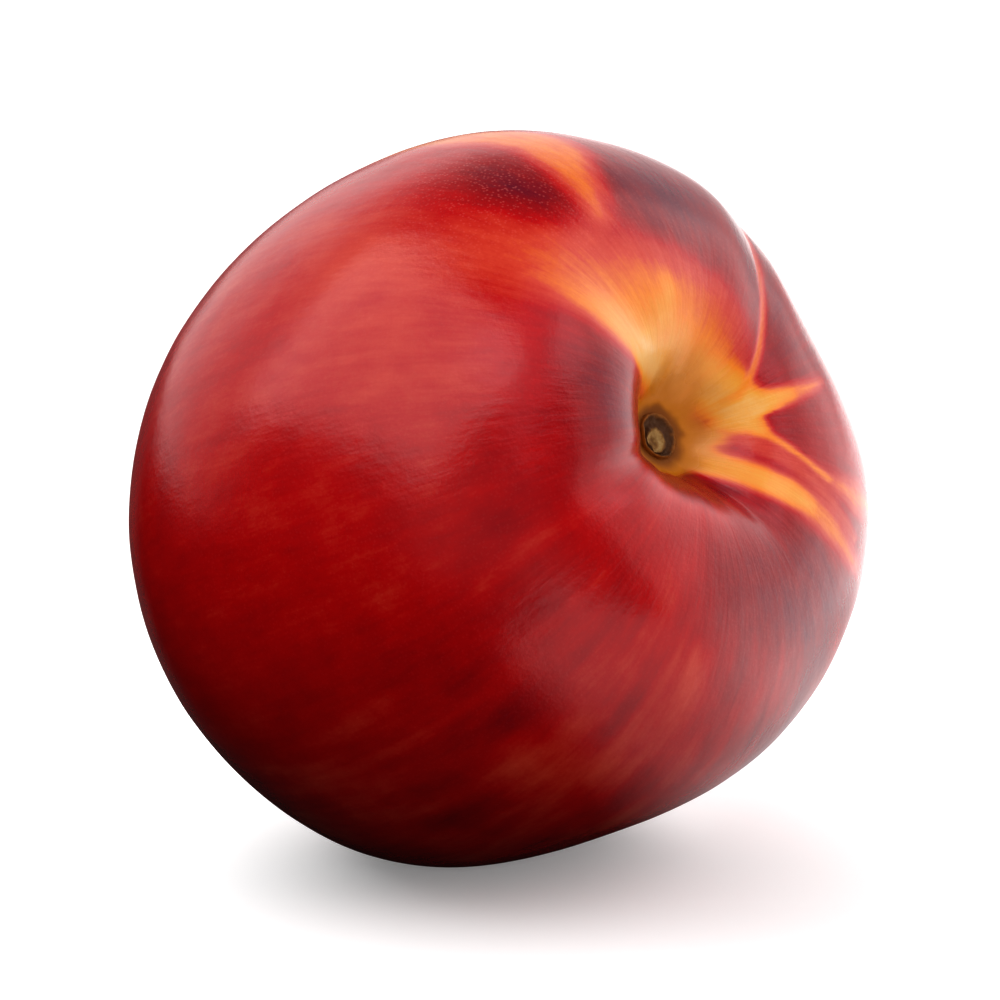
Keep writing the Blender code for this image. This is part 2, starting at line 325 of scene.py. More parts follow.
# The floor and the white surround. Each row maps a span to two values: from, to, value there,
# value here. Places are in metres from the fruit's middle.
FLOOR_GLOW = (0.15, 0.80, 0.15, 1.0)  # light of its own, by distance
FLOOR_SHADOW_PAINT = (-0.030, 0.026, -0.09, 0.25)  # painted light and shadow added to it round the fruit, less in front and more behind
FLOOR_LIFT_STARTS = (0.008, 0.020, 0.0, 1.0)  # share of that, by distance
FLOOR_LIFT_STOPS = (0.060, 0.130, 1.0, 0.0)
# What the floor throws back to the fruit is dimmed near it as painted shade: to the left, in front,
# under it and behind it on the right.
FLOOR_SLANT = 0.6  # how much the back counts beside the right in the first row below
FLOOR_DIMS_ASLANT = (-0.050, -0.028, 0.04, 1.0)  # tone that it throws back, by right and back
FLOOR_DIMS_LEFT = (0.010, 0.026, 0.04, 1.0)  # by how far right
FLOOR_DIMS_FRONT = (-0.045, -0.005, 0.65, 1.0)  # by how far back
FLOOR_DIMS_UNDER = (0.010, 0.070, 0.22, 1.0)  # by distance
FLOOR_SHADOW_MIDDLE = (0.050, 0.047, 0.0)  # the middle of a painted shadow, where the fruit's shade falls behind it on the right
FLOOR_DIMS_PATCH = (0.0, 0.045, 0.42, 1.0)  # by the distance from it
SURROUND_BY_DEPTH = (-0.25, 0.55, 0.07, 0.92)  # its light, by how far back a direction points
SURROUND_BY_HEIGHT = (0.40, 0.80, 1.0, 0.15)  # and by how far up

SENSOR_WIDTH = 36.0  # of the camera, in mm
VIEW_END = 100.0  # metres that the camera sees


class NectarineSkinSettings(bpy.types.PropertyGroup):
    """Sizes and colours of the skin"""

    subdivisions: IntProperty(
        name="Subdivisions", description="Times that the packed solid's faces are divided",
        default=2, min=0, max=2,
    )
    undulation: FloatProperty(
        name="Undulation", description="Height of the slow swells of the flesh under the skin",
        default=0.12 * MM, unit="LENGTH",
    )
    ribs: FloatProperty(
        name="Ribs", description="Height of the faint ribs that run from stem to tip",
        default=0.006 * MM, unit="LENGTH",
    )
    seam_depth: FloatProperty(
        name="Seam depth", description="Depth of the fine line along the seam",
        default=0.14 * MM, unit="LENGTH",
    )
    pore_depth: FloatProperty(
        name="Pore depth", description="Depth of the skin's pores", default=0.012 * MM, unit="LENGTH"
    )
    ground_cream: FloatVectorProperty(
        name="Ground cream", description="The palest ground",
        subtype="COLOR", default=(0.75, 0.46, 0.18),
    )
    ground_yellow: FloatVectorProperty(
        name="Ground yellow", description="Bare ground with next to no blush",
        subtype="COLOR", default=(0.74, 0.34, 0.06),
    )
    ground_orange: FloatVectorProperty(
        name="Ground orange", description="Ground under a thin blush",
        subtype="COLOR", default=(0.76, 0.23, 0.028),
    )
    blush_bright: FloatVectorProperty(
        name="Bright blush", description="The blush where it is bright",
        subtype="COLOR", default=(0.55, 0.060, 0.032),
    )
    blush_red: FloatVectorProperty(
        name="Red blush", description="Most of the skin",
        subtype="COLOR", default=(0.43, 0.004, 0.006),
    )
    blush_deep: FloatVectorProperty(
        name="Deep blush", description="Dark red skin",
        subtype="COLOR", default=(0.26, 0.003, 0.008),
    )
    blush_plum: FloatVectorProperty(
        name="Plum blush", description="The darkest skin",
        subtype="COLOR", default=(0.12, 0.003, 0.020),
    )
    hollow_ochre: FloatVectorProperty(
        name="Hollow ochre", description="The wall of the stem hollow",
        subtype="COLOR", default=(0.46, 0.168, 0.002),
    )
    # Painted shade: the darker ochre at the bottom of the hollow, round the scar.
    hollow_painted_shade: FloatVectorProperty(
        name="Deep ochre", description="The bottom of the stem hollow",
        subtype="COLOR", default=(0.21, 0.065, 0.001),
    )
    roughness: FloatProperty(
        name="Roughness", description="Roughness of the waxy surface", default=0.24, min=0.0, max=1.0
    )


class NectarineScarSettings(bpy.types.PropertyGroup):
    """Sizes and colours of the stem scar"""

    radius: FloatProperty(
        name="Radius", description="Half the scar's width", default=2.2 * MM, unit="LENGTH"
    )
    cork: FloatVectorProperty(
        name="Cork", description="The dry raised parts",
        subtype="COLOR", default=(0.36, 0.235, 0.09),
    )
    # The colour that the scar's rim fades to, matching the painted shade at the hollow's bottom.
    edge: FloatVectorProperty(
        name="Edge", description="Where it meets the hollow",
        subtype="COLOR", default=(0.26, 0.09, 0.004),
    )
    # Partly bark and partly painted shade, in the sunk moat round the cork ring.
    bark_and_shade: FloatVectorProperty(
        name="Bark", description="The dark parts between",
        subtype="COLOR", default=(0.075, 0.026, 0.004),
    )


class NectarineStageSettings(bpy.types.PropertyGroup):
    """The studio"""

    view_height: FloatProperty(
        name="Camera height", description="How far above level the camera looks from",
        subtype="ANGLE", default=math.radians(15.0),
    )
    view_distance: FloatProperty(
        name="Camera distance", description="From the fruit's middle", default=0.75, unit="LENGTH"
    )
    view_width: FloatProperty(
        name="View width", description="What the picture takes in, at the fruit",
        default=0.0928, unit="LENGTH",
    )
    aim: FloatVectorProperty(
        name="Aim", description="The point that the camera looks at",
        subtype="XYZ", default=(-0.08 * MM, 0.69 * MM, 33.06 * MM), unit="LENGTH",
    )
    floor_size: FloatProperty(
        name="Floor size", description="Width of the floor", default=10.0, unit="LENGTH"
    )
    floor_tone: FloatVectorProperty(
        name="Floor colour", description="Colour of the floor",
        subtype="COLOR", default=(0.90, 0.90, 0.90),
    )


def smoothstep(low, high, x):
    """0 below low, 1 above high, and a smooth S between them."""
    t = np.clip((x - low) / (high - low), 0.0, 1.0)
    return t * t * (3.0 - 2.0 * t)


def lie():
    """The turn from the upright fruit to how it lies, as a 3x3 matrix."""
    return Matrix.Rotation(math.radians(TURN), 3, "Z") @ Matrix.Rotation(math.radians(LEAN), 3, "X")


def directions(longitude, angle):
    """Unit vectors in the upright fruit, one a row."""
    around, down = np.radians(longitude), np.radians(angle)
    across = np.sin(down)
    return np.stack([across * np.cos(around), across * np.sin(around), np.cos(down)], axis=-1)


def longitude_gap(longitude, middle):
    """Signed degrees from middle to longitude, the short way round."""
    return (longitude - middle + 180.0) % 360.0 - 180.0


def read_points(mesh):
    """A mesh's points, one a row."""
    points = np.empty(len(mesh.vertices) * 3, np.float32)
    mesh.vertices.foreach_get("co", points)
    return points.reshape(-1, 3).astype(float)


def read_normals(mesh):
    """The directions that a mesh's points face, one a row."""
    normals = np.empty(len(mesh.vertices) * 3, np.float32)
    mesh.vertex_normals.foreach_get("vector", normals)
    return normals.reshape(-1, 3).astype(float)


def globe(points):
    """(unit direction, longitude, angle from the stem) of each point, in the upright fruit."""
    upright = (points - np.array(HEART)) @ np.array(lie())
    unit = upright / np.linalg.norm(upright, axis=1, keepdims=True)
    longitude = np.degrees(np.arctan2(unit[:, 1], unit[:, 0])) % 360.0
    angle = np.degrees(np.arccos(np.clip(unit[:, 2], -1.0, 1.0)))
    return unit, longitude, angle


def ripple(points, size, seed, octaves=2):
    """Smooth noise of about -1 to 1 whose waves are size long, one value a point."""
    shift = Vector([seed * step for step in SEED_STEP])
    scaled = points / size
    kind = (RIPPLE_ROUGHNESS, RIPPLE_LACUNARITY, octaves)
    return np.array([noise.fractal(Vector(point) + shift, *kind) for point in scaled])


def meridians(longitude, angle, count, length):
    """Noise coordinates whose waves run from stem to tip, count to a radian and length degrees long.

    They run together into plain noise round the tip, where they would else make a star.
    """
    around = np.radians(longitude)
    from_tip = np.where(angle > 90.0, np.sin(np.radians(angle)), 1.0)
    spread = np.clip(from_tip / TIP_CALM, 0.0, 1.0) * count
    return np.stack([np.cos(around) * spread, np.sin(around) * spread, angle / length], axis=1)


def from_seam(longitude, angle):
    """Signed millimetres from the seam's middle line to each point."""
    past = np.maximum(angle - SEAM_LEAVES, 0.0)
    course = SEAM_END - (SEAM_END - SEAM_START) * np.exp(-past / SEAM_BEND)
    return np.radians(longitude_gap(longitude, course)) * np.sin(np.radians(angle)) * REACH


def bell(x):
    """1 at 0, falling smoothly to either side."""
    return np.exp(-(x**2))


def apart(unit, longitude, angle):
    """Degrees from each direction to one place."""
    return np.degrees(np.arccos(np.clip(unit @ directions(longitude, angle), -1.0, 1.0)))


def from_course(unit, course):
    """Millimetres from each direction to a course's middle line, and the half width there."""
    stops = np.array(course, float)
    ends = directions(stops[:, 0], stops[:, 1]) * REACH
    nearest = np.full(len(unit), np.inf)
    width = np.zeros(len(unit))
    for start, end, at_start, at_end in zip(ends[:-1], ends[1:], stops[:-1, 2], stops[1:, 2]):
        along = end - start
        share = np.clip(((unit * REACH - start) @ along) / (along @ along), 0.0, 1.0)
        gap = np.linalg.norm(unit * REACH - start - share[:, None] * along, axis=1)
        closer = gap < nearest
        nearest[closer] = gap[closer]
        width[closer] = (at_start + (at_end - at_start) * share)[closer]
    return nearest, width


def feathered(unit, longitude, angle):
    """(unit direction, longitude, angle), shaken a little and mostly along the meridians."""
    fibres = meridians(longitude, angle, *BRUSH_FIBRES)
    loose = BRUSH_AT_STEM + (1.0 - BRUSH_AT_STEM) * smoothstep(*BRUSH_LOOSENS, angle)
    along = ripple(fibres, 1.0, seed=1) + ripple(unit * REACH, BRUSH_PATCH, seed=2)
    around = BRUSH_AROUND * ripple(unit * REACH, BRUSH_WAVE, seed=3)
    shaken = angle + BRUSH_ALONG * along * loose
    return directions(longitude + around, shaken), (longitude + around) % 360.0, shaken


def fan_cover(longitude, angle):
    """(how much of the fan covers each point, its blush there)."""
    left = np.interp(angle, *zip(*FAN_LEFT))
    right = np.interp(angle, *zip(*FAN_RIGHT))
    millimetre = np.degrees(1.0 / (REACH * np.maximum(np.sin(np.radians(angle)), STEM_GUARD)))
    in_from_left = (left - longitude) / millimetre
    in_from_right = longitude_gap(longitude, right) / millimetre
    ragged = 1.0 + FAN_FRAYING * smoothstep(*FAN_FRAYS, angle)
    cover = smoothstep(*FAN_LEFT_FADE, in_from_left / ragged)
    cover *= smoothstep(*FAN_RIGHT_FADE, in_from_right) * (1.0 - smoothstep(*FAN_ENDS, angle))
    width = np.maximum(in_from_left + in_from_right, FAN_LEAST_WIDTH)
    across = np.clip(in_from_left / width, 0.0, 1.0)
    stops, at_left, at_right = np.array(FAN_BLUSH).T
    left_blush, right_blush = np.interp(angle, stops, at_left), np.interp(angle, stops, at_right)
    return cover, (1.0 - across) * left_blush + across * right_blush


def paint_blush(unit, longitude, angle):
    """The blush at each point, from 0 for bare ground to 1 for plum."""
    blush = np.full(len(unit), BASE_BLUSH)
    for _, middle, down, spread, change in CLOUDS:
        blush += change * bell(apart(unit, middle, down) / spread)
    for change, size, seed in PATCHES:
        blush += change * ripple(unit * REACH, size, seed)
    low = smoothstep(*LOW_CHEEK_BEGINS, longitude) * (1.0 - smoothstep(*LOW_CHEEK_ENDS, longitude))
    for count, length, change, further, seed in STROKES:
        strokes = ripple(meridians(longitude, angle, count, length), 1.0, seed)
        blush += (change + further * low) * strokes * smoothstep(*STROKES_BEGIN, angle)

    shaken, shaken_longitude, shaken_angle = feathered(unit, longitude, angle)
    cover, fan = fan_cover(shaken_longitude, shaken_angle)
    blush += cover * (fan - blush)
    for _, tint, soft, course in STREAKS:
        gap, width = from_course(shaken, course)
        cover = smoothstep(-0.5 * soft, 0.5 * soft, width - gap)
        blush += cover * (tint - blush)

    aside = np.abs(from_seam(longitude, angle))
    shows = smoothstep(*SEAM_SHOWS, angle) * (1.0 - smoothstep(*SEAM_FADES, angle))
    flanks = bell((aside - FLANK_PLACE) / FLANK_HALF_WIDTH) * smoothstep(*FLANK_BEGINS, angle)
    blush += FLANK_CHANGE * flanks * shows
    # Painted highlight: the seam's pale line.
    tint = LINE_BLUSH + LINE_DARKENS * np.maximum(angle - LINE_DARKENS_FROM, 0.0)
    cover = (1.0 - smoothstep(*LINE_EDGE, aside)) * shows
    blush += LINE_STRENGTH * cover * (tint - blush)
    return np.clip(blush, 0.0, 1.0)


def set_number(mesh, name, values):
    """Gives each point a number that materials can read."""
    layer = mesh.attributes.new(name, "FLOAT", "POINT")
    layer.data.foreach_set("value", values.astype(np.float32))


def set_vector(mesh, name, values):
    """Gives each point a vector that materials can read."""
    layer = mesh.attributes.new(name, "FLOAT_VECTOR", "POINT")
    layer.data.foreach_set("vector", values.astype(np.float32).ravel())


class NodeBench:
    """Adds nodes to a material and joins them, laying them out from left to right."""

    LEFT, TOP = -1400, 600
    COLUMN_WIDTH, ROW_HEIGHT, ROWS = 200, 70, 16
    SHADER_COLUMN, OUTPUT_COLUMN = 11, 13

    def __init__(self, name):
        self.material = bpy.data.materials.new(name)
        self.material.use_nodes = True
        self.tree = self.material.node_tree
        self.row = 0
        self.shader = self.tree.nodes["Principled BSDF"]
        self.output = self.tree.nodes["Material Output"]
        self.put(self.shader, self.SHADER_COLUMN)
        self.put(self.output, self.OUTPUT_COLUMN)

    def put(self, node, column):
        """Lays a node down in a column, one row below the last node."""
        across, down = column * self.COLUMN_WIDTH, self.row * self.ROW_HEIGHT
        node.location = (self.LEFT + across, self.TOP - down)
        self.row = (self.row + 1) % self.ROWS

    def add(self, kind, column, **settings):
        """A new node in a column, with its settings."""
        made = self.tree.nodes.new(kind)
        self.put(made, column)
        for name, value in settings.items():
            setattr(made, name, value)
        return made

    def join(self, source, target):
        """Links an output to an input."""
        self.tree.links.new(source, target)

    def give(self, value, socket):
        """Joins an output to an input, or sets the input to a plain value."""
        if isinstance(value, bpy.types.NodeSocket):
            self.join(value, socket)
        else:
            socket.default_value = value

    def feed(self, made, **inputs):
        """Sets or joins a node's inputs by name. Underscores stand for spaces."""
        for name, value in inputs.items():
            self.give(value, made.inputs[name.replace("_", " ")])

    def layer(self, name, output="Fac"):
        """A painted layer of the piece."""
        return self.add("ShaderNodeAttribute", 0, attribute_name=name).outputs[output]

    def place(self):
        """Where on the piece a point is, in the piece's own metres."""
        return self.add("ShaderNodeTexCoord", 0).outputs["Object"]

    def noise(self, vector, scale, detail, roughness=0.5):
        """Noise of 0 to 1 over a vector."""
        made = self.add("ShaderNodeTexNoise", 1)
        self.feed(made, Vector=vector, Scale=scale, Detail=detail, Roughness=roughness)
        return made.outputs["Fac"]

    def math(self, operation, *values):
        """The result of a sum on two or three values."""
        made = self.add("ShaderNodeMath", 3, operation=operation)
        for value, socket in zip(values, made.inputs):
            self.give(value, socket)
        return made.outputs[0]

    def between(self, value, low, high, to_low=0.0, to_high=1.0):
        """Maps value from low..high to to_low..to_high, smoothly and no further."""
        made = self.add("ShaderNodeMapRange", 3, interpolation_type="SMOOTHSTEP")
        self.feed(made, Value=value, From_Min=low, From_Max=high, To_Min=to_low, To_Max=to_high)
        return made.outputs["Result"]

    def distance(self, a, b):
        """How far two points are apart."""
        made = self.add("ShaderNodeVectorMath", 3, operation="DISTANCE")
        self.give(a, made.inputs[0])
        self.give(b, made.inputs[1])
        return made.outputs["Value"]

    def mix(self, share, a, b):
        """Colour a where share is 0 and colour b where it is 1."""
        made = self.add("ShaderNodeMix", 6, data_type="RGBA")
        inputs = [socket for socket in made.inputs if socket.enabled]
        for value, socket in zip((share, a, b), inputs):
            self.give(value, socket)
        return next(socket for socket in made.outputs if socket.enabled)

    def ramp(self, value, stops):
        """A colour by value, through stops of (value, colour)."""
        made = self.add("ShaderNodeValToRGB", 5)
        self.join(value, made.inputs["Fac"])
        band = made.color_ramp
        while len(band.elements) < len(stops):
            band.elements.new(0.5)
        for element, (place, colour) in zip(band.elements, stops):
            element.position = place
            element.color = (*colour, 1.0)
        return made.outputs["Color"]

    def bump(self, height, distance, under=None):
        """A normal raised by height, over the one under it."""
        made = self.add("ShaderNodeBump", 7)
        self.feed(made, Height=height, Distance=distance, Strength=1.0)
        if under is not None:
            self.join(under, made.inputs["Normal"])
        return made.outputs["Normal"]


def skin_material(settings):
    """Waxy red skin whose blush, fibres and dots follow the painted layers."""
    bench = NodeBench("nectarine_skin")
    blush, hollow, dots = (bench.layer(name) for name in ("blush", "hollow", "dots"))
    fibre = bench.layer("fibre", "Vector")
    place = bench.place()

    for fibrous, scale, detail, much in BLUSH_GRAIN:
        grain = bench.noise(fibre if fibrous else place, scale, detail, GRAIN_ROUGHNESS)
        blush = bench.math("MULTIPLY_ADD", grain, much, blush)
    middle = 0.5 * sum(much for *_, much in BLUSH_GRAIN)
    blush = bench.math("SUBTRACT", blush, middle)
    colour = bench.ramp(blush, [(stop, getattr(settings, name)) for stop, name in BLUSH_COLOURS])
    # The lining's ochre, darkening to painted shade at the hollow's bottom.
    ochre, deep = (*settings.hollow_ochre, 1.0), (*settings.hollow_painted_shade, 1.0)
    lining = bench.mix(bench.between(hollow, 0.5, 1.0), ochre, deep)
    colour = bench.mix(bench.between(hollow, 0.0, 0.5), colour, lining)
    cells = bench.add("ShaderNodeTexVoronoi", 1, feature="F1")
    bench.feed(cells, Vector=place, Scale=DOT_SCALE, Randomness=1.0)
    dot = bench.between(cells.outputs["Distance"], *DOT_EDGE, 1.0, 0.0)
    colour = bench.mix(bench.math("MULTIPLY", dot, dots), colour, (*DOT_COLOUR, 1.0))

    normal = None
    for vector, scale, height in (
        (fibre, FIBRE_SCALE, FIBRE_HEIGHT),
        (place, PORE_SCALE, settings.pore_depth),
        (place, LUMP_SCALE, LUMP_HEIGHT),
    ):
        normal = bench.bump(bench.noise(vector, scale, RELIEF_DETAIL), height, normal)
    rough = bench.between(hollow, *HOLLOW_DULLS, settings.roughness, HOLLOW_ROUGHNESS)
    bench.feed(bench.shader, Base_Color=colour, Normal=normal, Roughness=rough, IOR=WAX_IOR)
    return bench.material


def scar_material(settings):
    """Dry cork with dark bark between its ridges, partly painted shade in the sunk moat, and a rim
    in the hollow's painted shade.
    """
    bench = NodeBench("stem_scar")
    *grain, much = SCAR_FLECKS
    flecks = bench.noise(bench.place(), *grain)
    cork = bench.math("MULTIPLY_ADD", flecks, much, bench.layer("cork"))
    cork = bench.math("SUBTRACT", cork, 0.5 * much)
    colours = (settings.bark_and_shade, SCAR_MIDDLE, settings.cork)
    colour = bench.ramp(cork, list(zip(SCAR_COLOUR_STOPS, colours)))
    colour = bench.mix(bench.layer("edge"), colour, (*settings.edge, 1.0))
    normal = bench.bump(flecks, SCAR_FLECK_HEIGHT)
    bench.feed(bench.shader, Base_Color=colour, Normal=normal, Roughness=SCAR_ROUGHNESS)
    return bench.material


def select_only(piece):
    """Selects a piece, makes it active, and deselects the rest."""
    bpy.ops.object.select_all(action="DESELECT")
    piece.select_set(True)
    bpy.context.view_layer.objects.active = piece


def merged_copy(node, name):
    """A piece made of a CAD node's triangles, merged and turned back into quads."""
    piece = bpy.data.objects.new(name, node.data.copy())
    piece.data.name = name
    piece.data.materials.clear()
    bpy.context.scene.collection.objects.link(piece)
    select_only(piece)
    bpy.ops.object.mode_set(mode="EDIT")
    bpy.ops.mesh.select_all(action="SELECT")
    bpy.ops.mesh.remove_doubles(threshold=MERGE_WITHIN)
    bpy.ops.mesh.tris_convert_to_quads(face_threshold=QUAD_BEND, shape_threshold=QUAD_SKEW)
    bpy.ops.object.mode_set(mode="OBJECT")
    return piece


def divide(piece, times):
    """Divides every face, and rounds the surface through them."""
    finer = piece.modifiers.new("Divide", "SUBSURF")
    finer.levels = finer.render_levels = times
    select_only(piece)
    bpy.ops.object.modifier_apply(modifier=finer.name)


def sculpt_skin(piece, settings):
    """Raises and sinks the fine form: slow swells, ribs, and the seam's line."""
    mesh = piece.data
    points, normals = read_points(mesh), read_normals(mesh)
    unit, longitude, angle = globe(points)
    clear = smoothstep(*CALM_IN_HOLLOW, angle) * smoothstep(*CALM_AT_GROUND, points[:, 2])
    rise = settings.undulation * clear * ripple(unit * REACH, SWELL_SIZE, seed=6)
    rise += settings.ribs * clear * ripple(meridians(longitude, angle, *RIBS), 1.0, seed=7)
    dent = bell(from_seam(longitude, angle) / DENT_HALF_WIDTH) * smoothstep(*DENT_BEGINS, angle)
    rise -= settings.seam_depth * dent
    points += normals * rise[:, None]
    mesh.vertices.foreach_set("co", points.astype(np.float32).ravel())
    mesh.update()


def paint_skin(piece):
    """Writes the painted layers that the skin's material reads."""
    mesh = piece.data
    unit, longitude, angle = globe(read_points(mesh))
    set_number(mesh, "blush", paint_blush(unit, longitude, angle))
    set_vector(mesh, "fibre", meridians(longitude, angle, 1.0, FIBRE_LENGTH))
    crown = bell(apart(unit, *DOT_CROWN) / DOT_SPREAD)
    set_number(mesh, "dots", DOTS_ON_CROWN * crown + DOTS_ALL_OVER)

    # The hollow's layer is 0 outside, 0.5 on its lining and 1 at its bottom, whose darker colour is
    # painted shade.
    around, edge, soft = np.array(LINING).T
    middle, spread = np.interp(longitude, around, edge), np.interp(longitude, around, soft)
    shaken = angle + LINING_WANDERS * spread * ripple(unit * REACH, LINING_WAVE, seed=8)
    lining = 1.0 - smoothstep(-0.5, 0.5, (shaken - middle) / spread)
    # Painted shade at the bottom of the hollow, round the scar.
    deep = 1.0 - smoothstep(*HOLLOW_BOTTOM, shaken)
    set_number(mesh, "hollow", 0.5 * lining * (1.0 + deep))


class NECTARINE_OT_skin(bpy.types.Operator):
    """Make the nectarine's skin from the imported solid"""

    bl_idname = "nectarine.skin"
    bl_label = "Nectarine skin"

    def execute(self, context):
        settings = context.scene.nectarine_skin
        piece = merged_copy(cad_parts["nectarine"], "nectarine_skin")
        divide(piece, settings.subdivisions)
        sculpt_skin(piece, settings)
        paint_skin(piece)
        piece.data.materials.append(skin_material(settings))
        piece.data.shade_smooth()
        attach(piece, "root")
        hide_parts("nectarine")
        return {"FINISHED"}


class NECTARINE_OT_scar(bpy.types.Operator):
    """Make the corky scar that the stem left at the bottom of the hollow"""

    bl_idname = "nectarine.scar"
    bl_label = "Stem scar"

    def execute(self, context):
        settings = context.scene.nectarine_scar
        piece = self.stepped_disc(settings.radius)
        divide(piece, SCAR_DIVISIONS)
        mesh = piece.data
        points = read_points(mesh)
        out = np.hypot(points[:, 0], points[:, 1])
        self.weather(points, out, settings.radius)
        self.paint(mesh, points, out, settings.radius)
        bed = np.array([0.0, 0.0, self.floor_of_hollow()])
        turned = (points + bed) @ np.array(lie()).T + np.array(HEART)
        mesh.vertices.foreach_set("co", turned.astype(np.float32).ravel())
        mesh.update()
        mesh.materials.clear()
        mesh.materials.append(scar_material(settings))
        mesh.shade_smooth()
        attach(piece, "root")
        return {"FINISHED"}

    @staticmethod
    def stepped_disc(radius):
        """An upright disc whose top is inset and then raised or sunk, once for each step."""
        middle = (0, 0, SCAR_RISE - SCAR_THICKNESS / 2)
        bpy.ops.object.select_all(action="DESELECT")
        bpy.ops.mesh.primitive_cylinder_add(
            vertices=SCAR_SIDES, radius=radius, depth=SCAR_THICKNESS, location=middle
        )
        piece = bpy.context.active_object
        piece.name = piece.data.name = "stem_scar"
        bpy.ops.object.transform_apply(location=True, rotation=True, scale=True)
        bpy.ops.object.mode_set(mode="EDIT")
        bpy.ops.mesh.select_mode(type="FACE")
        bpy.ops.mesh.select_all(action="DESELECT")
        bpy.ops.object.mode_set(mode="OBJECT")
        top = max(piece.data.polygons, key=lambda face: face.center.z)
        top.select = True
        bpy.ops.object.mode_set(mode="EDIT")
        for _, inset, lift in SCAR_STEPS:
            bpy.ops.mesh.inset(thickness=inset * MM, use_boundary=True)
            bpy.ops.transform.translate(value=(0, 0, lift * MM))
        bpy.ops.object.mode_set(mode="OBJECT")
        return piece

    @staticmethod
    def weather(points, out, radius):
        """Moves the ring off centre, and makes the outline waver and the top craggy."""
        points[:, :2] += np.outer(1.0 - smoothstep(*SCAR_SHIFT_FADES, out / radius), SCAR_OFF_CENTRE)
        round_way = points * [1.0, 1.0, 0.0] / np.maximum(out, SCAR_CORE)[:, None]
        wavers, wave = SCAR_OUTLINE
        points[:, :2] *= 1.0 + wavers * ripple(round_way, wave, seed=14)[:, None]
        top_side = smoothstep(*SCAR_TOP, points[:, 2])
        crags = sum(height * ripple(points, *waves) for height, *waves in SCAR_CRAGS)
        points[:, 2] += crags * top_side

    @staticmethod
    def paint(mesh, points, out, radius):
        """Writes how corky each point is, and how much of the hollow's colour it takes on."""
        uneven = 1.0 + SCAR_UNEVEN * ripple(points, SCAR_PATCH, seed=11)
        least, more = SCAR_RING_OUT
        ring = bell((out - SCAR_RING * (least + more * uneven)) / SCAR_RING_WIDTH) * uneven
        inside = 1.0 - smoothstep(*SCAR_DIMPLE_EDGE, out / SCAR_RING)
        on_ring, within = SCAR_CORK
        cork = on_ring * ring + within * inside * (1.0 - ring)
        set_number(mesh, "cork", np.clip(cork, 0.0, 1.0))
        wavers, wave = SCAR_FADE_WAVERS
        share = out / radius + wavers * ripple(points, wave, seed=13)
        set_number(mesh, "edge", smoothstep(*SCAR_FADES, share))

    @staticmethod
    def floor_of_hollow():
        """Height of the scar's bed above the heart, along the stem."""
        skin = bpy.data.objects["nectarine_skin"].data
        points = read_points(skin)
        upright = (points - np.array(HEART)) @ np.array(lie())
        near = (np.hypot(upright[:, 0], upright[:, 1]) < SCAR_BED) & (upright[:, 2] > 0)
        return upright[near, 2].mean()


def soft_box(name, azimuth, height, size, power, aim):
    """A rectangular lamp that faces the fruit. Azimuth 0 is behind the camera, and 90 right."""
    around, up = math.radians(azimuth), math.radians(height)
    way = Vector((math.sin(around) * math.cos(up), -math.cos(around) * math.cos(up), math.sin(up)))
    lamp = bpy.data.lights.new(name, "AREA")
    lamp.shape = "RECTANGLE"
    lamp.size, lamp.size_y = size
    lamp.energy = power
    holder = bpy.data.objects.new(name, lamp)
    bpy.context.scene.collection.objects.link(holder)
    holder.location = aim + way * LAMP_DISTANCE
    holder.rotation_euler = way.to_track_quat("Z", "Y").to_euler()
    holder.visible_camera = False
    return holder


